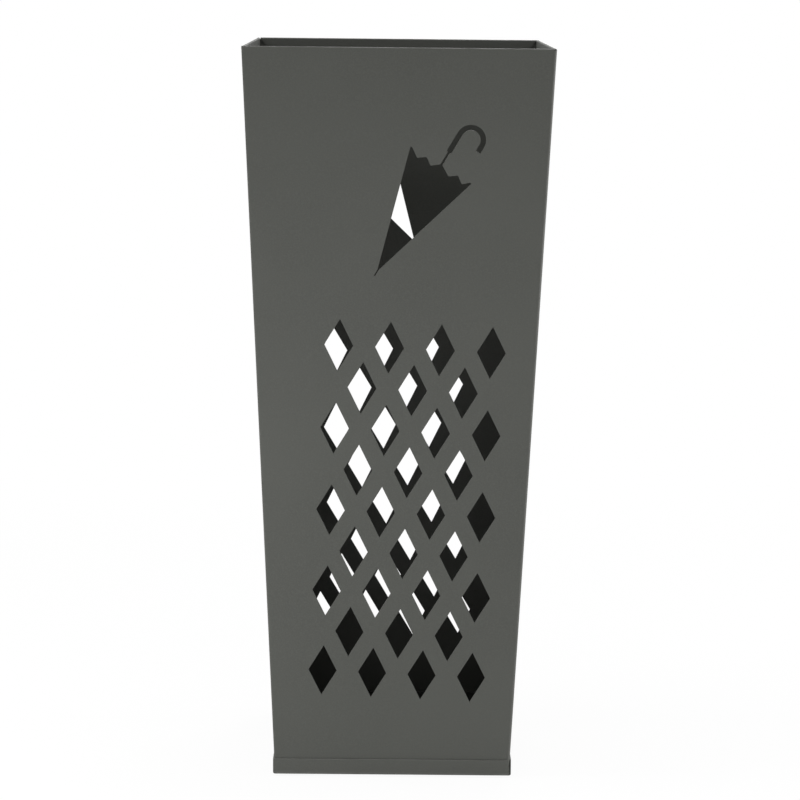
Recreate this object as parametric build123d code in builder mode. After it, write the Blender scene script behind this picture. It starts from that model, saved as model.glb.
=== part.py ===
"""Umbrella stand: a tapered square tube of two folded steel sheets, standing in a shallow base pan.

Millimetres. The floor is z = 0, the tube's axis is the Z axis and the front face looks along -Y.
"""
import os
from math import atan, cos, degrees, radians, sin, tan

from build123d import *

# Driving sizes
height = 492.0  # floor to the top of the folded rim
top_width = 202.0  # across the outer faces at the rim
base_width = 160.0  # across the outer faces where they meet the base pan's lip
sheet = 0.8  # steel thickness
pad_height = 1.5
lip_height = 11.0  # from the pan's underside to the top edge of its lip

# Levels and slopes that follow from them
lip_top = pad_height + lip_height
floor_top = pad_height + sheet
taper = (top_width - base_width) / 2 / (height - lip_top)
lean = atan(taper)  # each wall leans outwards by this angle
wall_run = sheet / cos(lean)  # a leaning wall's thickness, measured level
bend_tilt = atan(taper * cos(lean))  # the bend line's tilt within the face
bend_line = (height - lip_top) / cos(lean) / cos(bend_tilt)  # its length from the lip to the rim

# Folds of a sheet
bend_radius = 2.0  # outside of the bend between the front wall and the side wall
lap_radius = 2 * sheet  # outside of the bend between the side wall and its lap flange
lap_width = 12.0  # lap flange that is spot welded behind the other sheet's face
hem_depth = 5.0  # the rim is folded inwards and down by this much
hem_gap = 0.3  # air inside the folded rim
hem_setback = bend_radius + sheet / 4  # the folded rim ends this far from a bent corner
mitre_angle = 40.0  # degrees from upright, at the ends of the folded rim's inner leaf
lap_relief = 2.0  # between the folded rim and the top of the lap flange
leaf_start = sheet + hem_gap  # from the outer face to the inner leaf
fold_radius = sheet + hem_gap / 2
fold_level = height - fold_radius * (1 + sin(lean))
lap_top = fold_level - hem_depth - lap_relief

# Umbrella cut-out, laid out along its own axis from the point of its canopy
canopy_length = 82.5  # to the two tips of its hem
canopy_half_angle = 15.95  # degrees
notch_depth = 5.25  # from the tips to the four notches in the hem
middle_dip = 0.7  # from the tips to the middle cusp
tooth_dip = 1.65  # from the tips to the two teeth between them and the middle
tooth_half = 5.0  # half of a tooth's width, from notch to notch
tooth_shift = 1.0  # both teeth stand this far towards the crook's open side
cusp_rounding = 0.7  # radius at the hem's corners
ferrule_length = 3.2
ferrule_width = 0.8
shaft_length = 8.1
shaft_width = 1.4
handle_straight = 14.2
handle_radius = 8.05  # to the middle of the handle's width
handle_width = 3.5
handle_tail = 4.4
umbrella_tilt = 62.2  # degrees between the umbrella's axis and the rows of diamonds
umbrella_inset = 107.7  # bend line to the canopy's point
umbrella_drop = 150.0  # rim to the canopy's point, along the bend line
canopy_half = canopy_length * tan(radians(canopy_half_angle))
notch_level = canopy_length - notch_depth
handle_start = canopy_length + shaft_length
handle_bend = handle_start + handle_straight
umbrella_foot = bend_line - umbrella_drop  # lip to the canopy's point

# Diamond lattice, laid out from the bend line and filling the face below the umbrella
diamond_width = 19.0
diamond_height = 34.8
column_pitch = 33.4
row_step = 27.9
column_inset = 29.9  # bend line to the centres of the nearest column
lowest_row = 57.4  # lip to the centres of the lowest row, along the bend line
edge_margin = 24.0  # least room between the centres of the last column and the free edge
umbrella_margin = 25.0  # least room between the lattice and the umbrella's point
row_room = umbrella_foot - umbrella_margin - diamond_height / 2 - lowest_row
row_count = int(row_room // row_step) + 1
full_row = int((base_width - column_inset - edge_margin) // column_pitch) + 1

# Base pan, drip tray and foot pads
pan_bend = 0.4  # inside of the bend between the pan's floor and its lip
wall_foot = base_width / 2 - (lip_top - floor_top) * taper  # half of the tube's width on the floor
lip_inner = max(base_width / 2, wall_foot + pan_bend)  # the lip's top edge grips the walls
lip_outer = lip_inner + sheet
pan_flat = lip_inner - pan_bend  # half of the flat floor
lip_foot = floor_top + pan_bend  # where the upright part of the lip starts
lip_slant = 1.2  # how far the ends of a lip are cut back at their top
slant_foot = (lip_foot + lip_top) / 2  # where that slant starts
lip_end = pan_flat - lip_slant  # half of a lip's length along its top edge
tray_height = 12.0
tray_wall = 1.6
tray_lip = 1.0  # the tray's edge stands out by this much
tray_gap = 0.8  # air between the tray's edge and the lap flanges
tray_corner = 10.0
pad_radius = 8.0
pad_inset = 15.0  # from the flat floor's edge to a pad's centre


def half_width(level):
    """Half of the tube's outer width at a level."""
    return base_width / 2 + (level - lip_top) * taper


def wall_plane(turn, level):
    """The outer face of a wall, centred at a level: x runs across, y up the slope and z outwards."""
    front = Plane((0, -half_width(level), level), x_dir=(1, 0, 0), z_dir=(0, -cos(lean), -sin(lean)))
    return Plane(Location((0, 0, 0), (0, 0, turn)) * front.location)


def within(plane, across, up, turn):
    """A plane with its origin moved within it and its axes turned about its normal."""
    return Plane(plane.location * Location((across, up, 0), (0, 0, turn)))


def lattice_plane():
    """The front face with its origin at the foot of the bend line and y along that line."""
    return within(wall_plane(0, lip_top), base_width / 2, 0, -degrees(bend_tilt))


def umbrella_plane():
    """The front face with its origin at the canopy's point and y along the umbrella."""
    return within(lattice_plane(), -umbrella_inset, umbrella_foot, umbrella_tilt - 90)


def sheet_section(level):
    """Level section of a sheet: front wall, bend, right-hand wall and lap flange behind the rear face."""
    half = half_width(level)
    inside = half - wall_run
    bend_end = half - bend_radius
    lap_start = inside - lap_radius
    lap_end = half - lap_radius
    lap_edge = half - lap_width
    lap_back = inside - wall_run
    with BuildSketch(Plane.XY.offset(level)) as section:
        with BuildLine():
            Line((-half, -half), (bend_end, -half))
            RadiusArc((bend_end, -half), (half, -bend_end), -bend_radius)
            Line((half, -bend_end), (half, lap_start))
            RadiusArc((half, lap_start), (lap_end, inside), -lap_radius)
            Polyline((lap_end, inside), (lap_edge, inside), (lap_edge, lap_back), (lap_end, lap_back))
            RadiusArc((lap_end, lap_back), (inside, lap_start), lap_radius - wall_run)
            Line((inside, lap_start), (inside, -bend_end))
            RadiusArc((inside, -bend_end), (bend_end, -inside), bend_radius - wall_run)
            Polyline((bend_end, -inside), (-half, -inside), (-half, -half))
        make_face()
    return section.sketch


def fold_section(turn):
    """Section through the fold at a wall's rim: x runs inwards from the outer face and y up the slope."""
    outer = wall_plane(turn, fold_level)
    with BuildSketch(Plane(outer.origin, x_dir=-outer.z_dir, z_dir=outer.x_dir)) as section:
        with BuildLine():
            Line((0, -sheet), (0, 0))
            ThreePointArc((0, 0), (fold_radius, fold_radius), (leaf_start + sheet, 0))
            Line((leaf_start + sheet, 0), (leaf_start, 0))
            ThreePointArc((leaf_start, 0), (fold_radius, hem_gap / 2), (sheet, 0))
            Polyline((sheet, 0), (sheet, -sheet), (0, -sheet))
        make_face()
    return section.sketch


def leaf_outline(turn):
    """The leaf that hangs down inside from a wall's fold, with slanted ends."""
    top = half_width(fold_level) - hem_setback
    bottom = top - hem_depth * tan(radians(mitre_angle))
    with BuildSketch(wall_plane(turn, fold_level).offset(-leaf_start)) as outline:
        with BuildLine():
            Polyline((-top, 0), (top, 0), (bottom, -hem_depth), (-bottom, -hem_depth), close=True)
        make_face()
    return outline.sketch


def diamonds():
    """The lattice: full rows and rows of one fewer in turn, half a pitch apart."""
    half_across = diamond_width / 2
    half_up = diamond_height / 2
    with BuildSketch(lattice_plane()) as lattice:
        for row in range(row_count):
            short = row % 2
            for column in range(full_row - short):
                across = -column_inset - (column + short / 2) * column_pitch
                with Locations((across, lowest_row + row * row_step)):
                    Polygon((half_across, 0), (0, half_up), (-half_across, 0), (0, -half_up))
    return lattice.sketch


def hem_tooth(side):
    """The corners of a tooth in the canopy's hem, from right to left."""
    middle = side * canopy_half / 2 + tooth_shift
    return (
        (middle + tooth_half, notch_level),
        (middle, canopy_length - tooth_dip),
        (middle - tooth_half, notch_level),
    )


def umbrella():
    """A folded umbrella: pointed canopy with a toothed hem, ferrule, shaft and crook handle."""
    crook_top = (handle_radius, handle_bend + handle_radius)
    crook_end = 2 * handle_radius
    with BuildSketch(umbrella_plane()) as picture:
        with BuildLine():
            Polyline(
                (0, 0),
                (canopy_half, canopy_length),
                *hem_tooth(1),
                (0, canopy_length - middle_dip),
                *hem_tooth(-1),
                (-canopy_half, canopy_length),
                close=True,
            )
        make_face()
        fillet(picture.vertices().filter_by(lambda corner: corner.Y > canopy_length / 2), cusp_rounding)
        with BuildLine(mode=Mode.PRIVATE) as ferrule:
            Line((0, -ferrule_length), (0, ferrule_length))
        trace(ferrule.line, ferrule_width)
        with BuildLine(mode=Mode.PRIVATE) as shaft:
            Line((0, notch_level), (0, handle_start + shaft_width))
        trace(shaft.line, shaft_width)
        with BuildLine(mode=Mode.PRIVATE) as handle:
            Line((0, handle_start), (0, handle_bend))
            ThreePointArc((0, handle_bend), crook_top, (crook_end, handle_bend))
            Line((crook_end, handle_bend), (crook_end, handle_bend - handle_tail))
        trace(handle.line, handle_width)
    return picture.sketch


def lip_section():
    """Section through the pan's right-hand edge: bend and upright lip."""
    outer_bend = pan_bend + sheet
    with BuildSketch(Plane.XZ) as section:
        with BuildLine():
            RadiusArc((pan_flat, pad_height), (lip_outer, pad_height + outer_bend), -outer_bend)
            Polyline(
                (lip_outer, pad_height + outer_bend),
                (lip_outer, lip_top),
                (lip_inner, lip_top),
                (lip_inner, lip_foot),
            )
            RadiusArc((lip_inner, lip_foot), (pan_flat, floor_top), pan_bend)
            Line((pan_flat, floor_top), (pan_flat, pad_height))
        make_face()
    return section.sketch


def lip_slants():
    """The slivers that are cut off the ends of the pan's right-hand lip."""
    with BuildSketch(Plane.YZ.offset(lip_inner)) as slivers:
        for side in (-1, 1):
            with BuildLine():
                Polyline(
                    (side * pan_flat, lip_top),
                    (side * lip_end, lip_top),
                    (side * pan_flat, slant_foot),
                    close=True,
                )
            make_face()
    return slivers.sketch


def tray_section(level, inset):
    """Level section of the tray, inset from its edge, which follows the lap flanges at a gap."""
    half = half_width(level) - 2 * wall_run - tray_gap - inset
    with BuildSketch(Plane.XY.offset(level)) as section:
        RectangleRounded(2 * half, 2 * half, tray_corner - inset)
    return section.sketch


# Front sheet, with its lap flange cut short of the rim, its folded rim and its cut-outs
with BuildPart() as front_sheet:
    loft([sheet_section(floor_top), sheet_section(fold_level)], ruled=True)
    rim_half = half_width(fold_level)
    with Locations((rim_half - lap_radius, rim_half, lap_top)):
        Box(
            2 * lap_width,
            lap_width,
            height - lap_top,
            align=(Align.MAX, Align.CENTER, Align.MIN),
            mode=Mode.SUBTRACT,
        )
    for turn, left_setback in ((0, 0), (90, hem_setback)):  # the front wall's fold reaches its free edge
        extrude(fold_section(turn), amount=rim_half - hem_setback)
        extrude(fold_section(turn), amount=left_setback - rim_half)
        extrude(leaf_outline(turn), amount=-sheet)
    extrude(diamonds(), amount=2 * sheet, both=True, mode=Mode.SUBTRACT)
    extrude(umbrella(), amount=2 * sheet, both=True, mode=Mode.SUBTRACT)
front_sheet.part.label = "front_sheet"

# Rear sheet: the same piece turned half round
with BuildPart() as rear_sheet:
    add(front_sheet.part.rotate(Axis.Z, 180))
rear_sheet.part.label = "rear_sheet"

# Base pan: flat floor with four upright lips; tabs on the front and rear lips close the two lapped corners
with BuildPart() as pan_lip:
    extrude(lip_section(), amount=pan_flat, both=True)
    extrude(lip_slants(), amount=sheet, mode=Mode.SUBTRACT)
with BuildPart() as corner_tab:
    with Locations((lip_inner, -lip_end, lip_foot)):
        Box(sheet, lip_outer - lip_end, lip_top - lip_foot, align=(Align.MIN, Align.MAX, Align.MIN))
with BuildPart() as base_pan:
    with Locations((0, 0, pad_height)):
        Box(2 * pan_flat, 2 * pan_flat, sheet, align=(Align.CENTER, Align.CENTER, Align.MIN))
    for turn in (0, 90, 180, 270):
        add(pan_lip.part.rotate(Axis.Z, turn))
    for turn in (90, 270):
        add(corner_tab.part.rotate(Axis.Z, turn))
base_pan.part.label = "base_pan"

# Drip tray that lifts out through the top
tray_floor = floor_top + tray_wall
tray_top = floor_top + tray_height
tray_inner = tray_lip + tray_wall
with BuildPart() as drip_tray:
    loft([tray_section(floor_top, tray_lip), tray_section(tray_top, tray_lip)], ruled=True)
    extrude(tray_section(tray_top, 0), amount=-tray_wall)
    hollow = [tray_section(tray_floor, tray_inner), tray_section(tray_top, tray_inner)]
    loft(hollow, ruled=True, mode=Mode.SUBTRACT)
drip_tray.part.label = "drip_tray"

pieces = [front_sheet.part, rear_sheet.part, base_pan.part, drip_tray.part]

# Foot pads under the pan's corners
pad_spot = pan_flat - pad_inset
for depth_name, depth_side in (("front", -1), ("rear", 1)):
    for side_name, side in (("left", -1), ("right", 1)):
        with BuildPart() as foot_pad:
            with Locations((side * pad_spot, depth_side * pad_spot, 0)):
                Cylinder(pad_radius, pad_height, align=(Align.CENTER, Align.CENTER, Align.MIN))
        foot_pad.part.label = f"foot_pad_{depth_name}_{side_name}"
        pieces.append(foot_pad.part)

os.makedirs("parts", exist_ok=True)
for piece in pieces:
    export_step(piece, f"parts/{piece.label}.step")
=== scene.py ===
"""Umbrella stand: finishes for its sheets, pan, tray and pads, and a plain studio around it.

The file is laid out as an add-on. Run as a script, it registers its operators and calls them in order.
Lengths are metres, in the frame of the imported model.
"""
from math import radians

import bpy
from bpy.props import FloatProperty, FloatVectorProperty, PointerProperty
from bpy.types import Operator, Panel, PropertyGroup
from mathutils import Matrix, Vector


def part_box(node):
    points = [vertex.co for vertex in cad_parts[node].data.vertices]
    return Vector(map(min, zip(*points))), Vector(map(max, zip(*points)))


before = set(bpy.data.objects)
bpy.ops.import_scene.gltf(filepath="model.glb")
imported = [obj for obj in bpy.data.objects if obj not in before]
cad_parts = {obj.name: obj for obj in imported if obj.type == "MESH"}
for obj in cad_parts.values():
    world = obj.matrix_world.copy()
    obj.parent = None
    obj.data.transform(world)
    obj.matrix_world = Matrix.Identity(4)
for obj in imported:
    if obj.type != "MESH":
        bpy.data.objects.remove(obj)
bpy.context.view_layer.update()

bl_info = {
    "name": "Umbrella Stand",
    "version": (1, 0, 0),
    "blender": (4, 5, 0),
    "location": "3D View > Sidebar > Stand",
    "description": "Finishes a folded sheet-metal umbrella stand and sets it in a plain studio",
    "category": "Object",
}

SHEETS = ("front_sheet", "rear_sheet")
PAN = "base_pan"
TRAY = "drip_tray"
PADS = tuple(sorted(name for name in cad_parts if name.startswith("foot_pad_")))
WHITE = (1.0, 1.0, 1.0, 1.0)
NOISE_MIDDLE = 0.5  # the value that soft noise varies about
LEVEL_SLACK = 1e-5  # corners this close to the foot's level stand on it


# Shape of the tube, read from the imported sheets

def tube_shape():
    """Half width at the foot, level of the foot, widening per metre and level of the rim."""
    corners = [vertex.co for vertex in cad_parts[SHEETS[0]].data.vertices]
    foot = min(corner.z for corner in corners)
    rim = max(corner.z for corner in corners)
    foot_half = max(corner.x for corner in corners if corner.z < foot + LEVEL_SLACK)
    widest = max(corners, key=lambda corner: corner.x)
    return foot_half, foot, (widest.x - foot_half) / (widest.z - foot), rim


FOOT_HALF, FOOT_LEVEL, WIDENING, RIM_LEVEL = tube_shape()


# Settings

def length_setting(name, description, default):
    """A length that a user may change."""
    return FloatProperty(
        name=name, description=description, default=default, min=0, precision=5, unit="LENGTH"
    )


def share_setting(name, description, default):
    """A share from 0 to 1 that a user may change."""
    return FloatProperty(name=name, description=description, default=default, min=0, max=1, subtype="FACTOR")


def colour_setting(name, description, default):
    """A colour that a user may change."""
    return FloatVectorProperty(
        name=name, description=description, default=default, min=0, max=1, size=3, subtype="COLOR"
    )


def power_setting(name, description, default):
    """A lamp's power that a user may change."""
    return FloatProperty(name=name, description=description, default=default, min=0, unit="POWER")


def angle_setting(name, description, in_degrees):
    """An angle that a user may change."""
    return FloatProperty(name=name, description=description, default=radians(in_degrees), subtype="ANGLE")


def place_setting(name, description, default):
    """A point in the stand's frame that a user may change."""
    return FloatVectorProperty(
        name=name, description=description, default=default, size=3, precision=4, subtype="XYZ", unit="LENGTH"
    )


class CoatSettings(PropertyGroup):
    """The powder coat on the sheets and the pan."""

    colour: colour_setting("Colour", "Olive grey of the coat", (0.0808, 0.0834, 0.0752))
    # A lighter coat colour laid on edges and rims, partly worn coat and partly painted highlight.
    rubbed_and_highlit: colour_setting("Rubbed colour", "The coat where it is rubbed", (0.135, 0.137, 0.128))
    patch: length_setting("Patch", "Size of the broad patches", 0.12)
    patchiness: share_setting("Patchiness", "How far broad patches differ from the coat's colour", 0.05)
    speckle: share_setting("Speckle", "How much lighter the specks of the fine texture are", 0.12)
    roughness: share_setting("Roughness", "Roughness of the untouched coat", 0.5)
    cloud: length_setting("Cloud", "Size of the areas of uneven roughness", 0.05)
    unevenness: share_setting("Unevenness", "How far the roughness varies", 0.1)
    polish: share_setting("Polish", "How much smoother the rubbed coat is", 0.12)
    shine: share_setting("Shine", "Strength of the coat's reflections", 0.2)
    grain: length_setting("Grain", "Size of the coat's fine texture", 0.0009)
    grain_height: length_setting("Grain height", "Height of the fine texture", 0.00004)
    ripple: length_setting("Ripple", "Size of the gentle waves left by the melted powder", 0.005)
    ripple_height: length_setting("Ripple height", "Height of the gentle waves", 0.00005)
    # Reach and breaks of the lightened edges, which are partly worn coat and partly painted highlight.
    rub_and_highlight_reach: length_setting("Rub reach", "How far the rubbing reaches from an edge", 0.0012)
    rub_and_highlight_break: length_setting("Rub breaks", "Size of the breaks in the rubbing", 0.02)
    # How strongly bends and cut edges are lightened: a painted highlight where they would catch the light,
    # mixed with worn coat.
    bend_rub_and_highlight: share_setting("Bend rub", "How strongly bends and cut edges are rubbed", 0.5)


class TraySettings(PropertyGroup):
    """The moulded drip tray."""

    colour: colour_setting("Colour", "Dark grey of the moulded plastic", (0.036, 0.037, 0.033))
    water_mark: colour_setting("Water marks", "Pale film left by dried water", (0.075, 0.076, 0.072))
    film: length_setting("Film", "Size of the rings in the film", 0.03)
    mark_reach: share_setting("Mark reach", "How far up the tray the water marks reach", 0.4)
    mark_roughness: share_setting("Mark roughness", "How much rougher the water marks are", 0.2)
    roughness: share_setting("Roughness", "Roughness of the moulded surface", 0.42)
    cloud: length_setting("Cloud", "Size of the areas of uneven roughness", 0.025)
    unevenness: share_setting("Unevenness", "How far the roughness varies", 0.15)
    grain: length_setting("Grain", "Size of the mould's etched texture", 0.0008)
    grain_height: length_setting("Grain height", "Height of the etched texture", 0.00005)


class PadSettings(PropertyGroup):
    """The rubber foot pads."""

    colour: colour_setting("Colour", "Black of the rubber", (0.018, 0.018, 0.018))
    dust: colour_setting("Dust", "Floor dust on the rubber", (0.07, 0.066, 0.06))
    dust_patch: length_setting("Dust patch", "Size of the patches of dust", 0.006)
    dust_roughness: share_setting("Dust roughness", "How much rougher the dusty rubber is", 0.1)
    roughness: share_setting("Roughness", "Roughness of the rubber", 0.85)
    grain: length_setting("Grain", "Size of the rubber's texture", 0.0006)
    grain_height: length_setting("Grain height", "Height of the rubber's texture", 0.00003)


class StageSettings(PropertyGroup):
    """Floor, light and camera."""

    floor: colour_setting("Floor", "Colour of the floor", (0.93, 0.93, 0.93))
    floor_reach: length_setting("Floor reach", "Half of the floor's width", 100.0)
    paper: share_setting("Paper white", "How far the floor near the stand shows as plain white", 0.94)
    shadow_reach: length_setting("Shadow reach", "Beyond this distance the floor turns to plain white", 0.45)
    sky: FloatProperty(name="Sky", description="Light from all round", default=0.32, min=0)
    front_power: power_setting("Front lamp", "Power of the small low lamp in front", 0.38)
    left_power: power_setting("Left lamp", "Power of the small low lamp on the left", 1.12)
    right_power: power_setting("Right lamp", "Power of the low lamp on the right", 2.2)
    side_power: power_setting("Side lamp", "Power of the lamp that grazes the right-hand wall", 8.1)
    high_left_power: power_setting("High left lamp", "Power of the lamp high on the left", 10.3)
    high_front_power: power_setting("High front lamp", "Power of the lamp high in front", 4.6)
    back_power: power_setting("Back lamp", "Power of the lamp high behind", 8.0)
    camera: place_setting("Camera", "Where the camera stands", (-0.006703, -1.72219, 0.54159))
    camera_down: angle_setting("Camera down", "How far the camera looks down", 9.7306)
    camera_turn: angle_setting("Camera turn", "How far the camera turns to its left", -0.3336)
    camera_roll: angle_setting("Camera roll", "How far the camera leans to its left", 0.589)
    lens: FloatProperty(
        name="Lens", description="Focal length on a 36 mm sensor", default=113.18, unit="CAMERA"
    )


# Shader sums

class Wire:
    """An output in a node tree. Sums on wires add Math nodes."""

    def __init__(self, tree, socket):
        self.tree = tree
        self.socket = socket

    def math(self, operation, first, second):
        return self.tree.node("Math", {"operation": operation}, {0: first, 1: second})

    def __add__(self, other):
        return self.math("ADD", self, other)

    def __radd__(self, other):
        return self.math("ADD", other, self)

    def __sub__(self, other):
        return self.math("SUBTRACT", self, other)

    def __rsub__(self, other):
        return self.math("SUBTRACT", other, self)

    def __mul__(self, other):
        return self.math("MULTIPLY", self, other)

    def __rmul__(self, other):
        return self.math("MULTIPLY", other, self)

    def __or__(self, other):
        return self.math("MAXIMUM", self, other)

    def __abs__(self):
        return self.math("ABSOLUTE", self, 0)


class Tree:
    """The emptied node tree of a material or a world."""

    def __init__(self, owner):
        owner.use_nodes = True
        self.nodes = owner.node_tree.nodes
        self.links = owner.node_tree.links
        self.nodes.clear()

    def node(self, kind, settings, sockets, output=0):
        """Adds a node, sets it up, fills its sockets with values or wires and returns one output."""
        added = self.nodes.new("ShaderNode" + kind)
        for name, value in settings.items():
            setattr(added, name, value)
        for name, value in sockets.items():
            if isinstance(value, Wire):
                self.links.new(value.socket, added.inputs[name])
            else:
                added.inputs[name].default_value = value
        return Wire(self, added.outputs[output]) if added.outputs else None

    def noise(self, size, detail=2.0):
        """Soft noise from 0 to 1 with lumps of a size, fixed to the piece."""
        place = self.node("TexCoord", {}, {}, "Object")
        return self.node("TexNoise", {}, {"Vector": place, "Scale": 1 / size, "Detail": detail}, "Fac")

    def step(self, value, start, end):
        """Smooth step: 0 at the start and 1 at the end, which may be the lower of the two."""
        settings = {"interpolation_type": "SMOOTHSTEP"}
        return self.node("MapRange", settings, {"Value": value, "From Min": start, "From Max": end})

    def blend(self, share, first, second):
        """A colour on the way from the first to the second, which are inputs 6 and 7 of a colour Mix."""
        return self.node("Mix", {"data_type": "RGBA"}, {0: share, 6: first, 7: second}, 2)

    def place(self):
        """The three coordinates of a point, fixed to the piece."""
        point = self.node("TexCoord", {}, {}, "Object")
        return [self.node("SeparateXYZ", {}, {"Vector": point}, axis) for axis in "XYZ"]

    def turned_away(self):
        """1 where the surface faces neither sideways nor to the front or back, as on bends and cut edges."""
        facing = self.node("TexCoord", {}, {}, "Normal")
        across, deep = (self.node("SeparateXYZ", {}, {"Vector": facing}, axis) for axis in "XY")
        return self.step(abs(across) | abs(deep), start=0.985, end=0.9)

    def bump(self, *layers):
        """A surface normal from several heights in metres, the first one lowest."""
        normal = None
        for height, depth in layers:
            sockets = {"Height": height, "Distance": depth}
            if normal is not None:
                sockets["Normal"] = normal
            normal = self.node("Bump", {}, sockets)
        return normal

    def surface(self, **sockets):
        """Ends the tree in a Principled shader with these sockets."""
        shader = self.node("BsdfPrincipled", {}, {name.replace("_", " "): sockets[name] for name in sockets})
        self.node("OutputMaterial", {}, {"Surface": shader})


def shade(colour, amount=1.0):
    """A colour made lighter or darker by an amount, with full alpha."""
    return (*(channel * amount for channel in colour), 1.0)


def dress(names, material):
    """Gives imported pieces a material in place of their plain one."""
    for name in names:
        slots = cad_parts[name].data.materials
        slots.clear()
        slots.append(material)


# Powder coat

def sheet_rub_and_highlight(tree, coat):
    """Where a sheet is lightened, partly as worn coat and partly as painted highlight: on bends and cut
    edges, along lap corners and on the front or rear rim.
    """
    across, deep, level = tree.place()
    double_half = 2 * FOOT_HALF + (level - FOOT_LEVEL) * (2 * WIDENING)
    lap = tree.step(double_half - abs(across + deep), coat.rub_and_highlight_reach, 0)
    rim = tree.step(level, RIM_LEVEL - coat.rub_and_highlight_reach, RIM_LEVEL)
    front_or_rear = tree.step(abs(deep) - abs(across), 0, coat.rub_and_highlight_reach)
    return coat.bend_rub_and_highlight * tree.turned_away() * (1 - rim) | lap | rim * front_or_rear


def pan_rub_and_highlight(tree, coat):
    """Where the pan is lightened, partly as worn coat and partly as painted highlight: along its bottom edge
    and the top of its lip.
    """
    low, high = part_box(PAN)
    level = tree.place()[2]
    bottom = tree.step(level, low.z + 2 * coat.rub_and_highlight_reach, low.z)
    top = tree.step(level, high.z - coat.rub_and_highlight_reach / 2, high.z)
    return bottom | top


def powder_coat(name, coat, rub_and_highlight):
    """Matt powder coat with fine grain, broad patches, soft ripples, and edges lightened partly as worn coat
    and partly as painted highlight.
    """
    material = bpy.data.materials.new(name)
    tree = Tree(material)
    patches = tree.step(tree.noise(coat.patch), start=0.3, end=0.7)
    darker = shade(coat.colour, 1 - coat.patchiness)
    lighter = shade(coat.colour, 1 + coat.patchiness)
    ground = tree.blend(patches, darker, lighter)
    grain = tree.noise(coat.grain, detail=3.0)
    specks = tree.step(grain, start=0.35, end=0.75)
    speckled = tree.blend(specks, ground, shade(coat.colour, 1 + coat.speckle))
    breaks = tree.step(tree.noise(coat.rub_and_highlight_break, detail=4.0), start=0.2, end=0.65)
    # Edge mask: worn coat mixed with painted highlight on bends, cut edges and rims.
    rubbed_and_highlit = rub_and_highlight(tree, coat) * breaks
    colour = tree.blend(rubbed_and_highlit, speckled, shade(coat.rubbed_and_highlit))
    clouds = tree.noise(coat.cloud) - NOISE_MIDDLE
    roughness = coat.roughness + coat.unevenness * clouds - coat.polish * rubbed_and_highlit
    normal = tree.bump((tree.noise(coat.ripple), coat.ripple_height), (grain, coat.grain_height))
    tree.surface(Base_Color=colour, Roughness=roughness, Specular_IOR_Level=coat.shine, Normal=normal)
    return material


class STAND_OT_coat_sheets(Operator):
    """Coat the two folded sheets of the tube"""

    bl_idname = "stand.coat_sheets"
    bl_label = "Coat Sheets"

    def execute(self, context):
        dress(SHEETS, powder_coat("powder_coat_sheets", context.scene.stand_coat, sheet_rub_and_highlight))
        return {"FINISHED"}


class STAND_OT_coat_pan(Operator):
    """Coat the base pan"""

    bl_idname = "stand.coat_pan"
    bl_label = "Coat Pan"

    def execute(self, context):
        dress([PAN], powder_coat("powder_coat_pan", context.scene.stand_coat, pan_rub_and_highlight))
        return {"FINISHED"}


# Tray and pads

class STAND_OT_finish_tray(Operator):
    """Give the drip tray its etched dark grey plastic with dried water marks"""

    bl_idname = "stand.finish_tray"
    bl_label = "Finish Tray"

    def execute(self, context):
        tray = context.scene.stand_tray
        material = bpy.data.materials.new("tray_plastic")
        tree = Tree(material)
        low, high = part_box(TRAY)
        level = tree.place()[2]
        film = tree.noise(tray.film, detail=3.0)
        rings = tree.step(film, start=0.5, end=0.62) * tree.step(film, start=0.74, end=0.62)
        marks = rings * tree.step(level, low.z + tray.mark_reach * (high.z - low.z), low.z)
        colour = tree.blend(marks, shade(tray.colour), shade(tray.water_mark))
        clouds = tree.noise(tray.cloud) - NOISE_MIDDLE
        roughness = tray.roughness + tray.unevenness * clouds + tray.mark_roughness * marks
        normal = tree.bump((tree.noise(tray.grain, detail=3.0), tray.grain_height))
        tree.surface(Base_Color=colour, Roughness=roughness, Normal=normal)
        dress([TRAY], material)
        return {"FINISHED"}


class STAND_OT_finish_pads(Operator):
    """Give the foot pads their dusty rubber"""

    bl_idname = "stand.finish_pads"
    bl_label = "Finish Pads"

    def execute(self, context):
        pads = context.scene.stand_pads
        material = bpy.data.materials.new("pad_rubber")
        tree = Tree(material)
        dust = tree.step(tree.noise(pads.dust_patch, detail=4.0), start=0.45, end=0.8)
        colour = tree.blend(dust, shade(pads.colour), shade(pads.dust))
        roughness = pads.roughness + pads.dust_roughness * dust
        normal = tree.bump((tree.noise(pads.grain, detail=3.0), pads.grain_height))
        tree.surface(Base_Color=colour, Roughness=roughness, Normal=normal)
        dress(PADS, material)
        return {"FINISHED"}


# Stage

def seen_directly(tree):
    """1 for rays from the camera, also by way of a mirror or glass, and 0 for rays that light a surface."""
    camera, glossy, through = (
        tree.node("LightPath", {}, {}, f"Is {kind} Ray") for kind in ("Camera", "Glossy", "Transmission")
    )
    return camera | glossy | through


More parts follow.
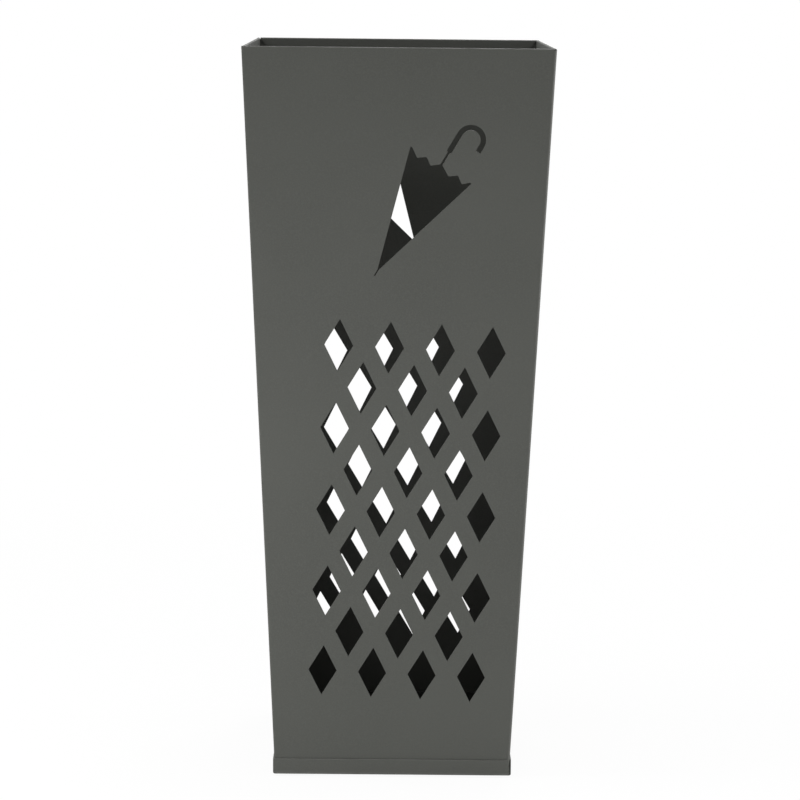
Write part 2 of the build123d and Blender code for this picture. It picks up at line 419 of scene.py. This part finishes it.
def lay_floor(stage):
    """A wide floor that shows the stand's shadow near it and plain white further off."""
    reach = stage.floor_reach
    corners = [(-reach, -reach, 0), (reach, -reach, 0), (reach, reach, 0), (-reach, reach, 0)]
    mesh = bpy.data.meshes.new("floor")
    mesh.from_pydata(corners, [], [(0, 1, 2, 3)])
    material = bpy.data.materials.new("floor_paper")
    tree = Tree(material)
    across, deep, _ = tree.place()
    far = tree.step(abs(across) | abs(deep), stage.shadow_reach, 2 * stage.shadow_reach)
    share = stage.paper + (1 - stage.paper) * far
    paper = tree.node("BsdfDiffuse", {}, {"Color": shade(stage.floor)})
    white = tree.node("Emission", {}, {"Color": WHITE, "Strength": 1.0})
    shown = tree.node("MixShader", {}, {0: seen_directly(tree) * share, 1: paper, 2: white})
    tree.node("OutputMaterial", {}, {"Surface": shown})
    mesh.materials.append(material)
    floor = bpy.data.objects.new("floor", mesh)
    bpy.context.scene.collection.objects.link(floor)


def hang_sky(stage):
    """Even white light from all round, shown as plain white."""
    world = bpy.data.worlds.new("studio")
    tree = Tree(world)
    light = tree.node("Background", {}, {"Color": WHITE, "Strength": stage.sky})
    white = tree.node("Background", {}, {"Color": WHITE, "Strength": 1.0})
    shown = tree.node("MixShader", {}, {0: seen_directly(tree), 1: light, 2: white})
    tree.node("OutputWorld", {}, {"Surface": shown})
    bpy.context.scene.world = world


def hang_lamp(name, place, target, width, depth, power):
    """A soft flat lamp that faces a point."""
    light = bpy.data.lights.new(name, "AREA")
    light.shape = "RECTANGLE"
    light.size = width
    light.size_y = depth
    light.energy = power
    lamp = bpy.data.objects.new(name, light)
    aim = (Vector(target) - Vector(place)).to_track_quat("-Z", "Y")
    lamp.matrix_world = Matrix.Translation(place) @ aim.to_matrix().to_4x4()
    lamp.visible_camera = False
    bpy.context.scene.collection.objects.link(lamp)


def stand_camera(stage):
    """The camera at the photograph's viewpoint."""
    lens = bpy.data.cameras.new("camera")
    lens.lens = stage.lens
    lens.clip_end = 4 * stage.floor_reach  # past the floor's far corners
    camera = bpy.data.objects.new("camera", lens)
    turn = Matrix.Rotation(stage.camera_turn, 4, "Z")
    tilt = Matrix.Rotation(radians(90) - stage.camera_down, 4, "X")
    roll = Matrix.Rotation(stage.camera_roll, 4, "Z")
    camera.matrix_world = Matrix.Translation(stage.camera) @ turn @ tilt @ roll
    bpy.context.scene.collection.objects.link(camera)
    bpy.context.scene.camera = camera


# Where each lamp hangs, its width and its depth
LAMPS = {
    "front": ((-0.05, -0.6, 0.18), 0.3, 0.15),
    "left": ((-0.5, -0.3, 0.12), 0.3, 0.15),
    "right": ((0.94, -0.34, 0.2), 0.6, 0.3),
    "side": ((1.49, 0.13, 0.5), 0.6, 0.6),
    "high_left": ((-1.2, -0.1, 1.2), 0.6, 0.6),
    "high_front": ((0, -0.7, 1.9), 0.8, 0.8),
    "back": ((0.3, 0.9, 1.3), 0.8, 0.6),
}


class STAND_OT_set_stage(Operator):
    """Lay the floor, hang the lights and stand the camera"""

    bl_idname = "stand.set_stage"
    bl_label = "Set Stage"

    def execute(self, context):
        stage = context.scene.stand_stage
        middle = (0, 0, RIM_LEVEL / 2)
        lay_floor(stage)
        hang_sky(stage)
        for name, (place, width, depth) in LAMPS.items():
            hang_lamp(f"lamp_{name}", place, middle, width, depth, getattr(stage, f"{name}_power"))
        stand_camera(stage)
        context.scene.view_settings.view_transform = "Standard"
        return {"FINISHED"}


# Panel and registration

class STAND_PT_panel(Panel):
    """The stand's settings and operators in the sidebar"""

    bl_idname = "STAND_PT_panel"
    bl_label = "Umbrella Stand"
    bl_space_type = "VIEW_3D"
    bl_region_type = "UI"
    bl_category = "Stand"

    def draw(self, context):
        for name, operators in STEPS.items():
            box = self.layout.box()
            settings = getattr(context.scene, name)
            for key in settings.__annotations__:
                box.prop(settings, key)
            for operator in operators:
                box.operator(operator.bl_idname)


GROUPS = {
    "stand_coat": CoatSettings,
    "stand_tray": TraySettings,
    "stand_pads": PadSettings,
    "stand_stage": StageSettings,
}
STEPS = {
    "stand_coat": (STAND_OT_coat_sheets, STAND_OT_coat_pan),
    "stand_tray": (STAND_OT_finish_tray,),
    "stand_pads": (STAND_OT_finish_pads,),
    "stand_stage": (STAND_OT_set_stage,),
}
CLASSES = (*GROUPS.values(), *(operator for step in STEPS.values() for operator in step), STAND_PT_panel)


def register():
    for cls in CLASSES:
        bpy.utils.register_class(cls)
    for name, group in GROUPS.items():
        setattr(bpy.types.Scene, name, PointerProperty(type=group))


def unregister():
    for name in GROUPS:
        delattr(bpy.types.Scene, name)
    for cls in reversed(CLASSES):
        bpy.utils.unregister_class(cls)


def main():
    register()
    bpy.ops.stand.coat_sheets()
    bpy.ops.stand.coat_pan()
    bpy.ops.stand.finish_tray()
    bpy.ops.stand.finish_pads()
    bpy.ops.stand.set_stage()


if __name__ == "__main__":
    main()
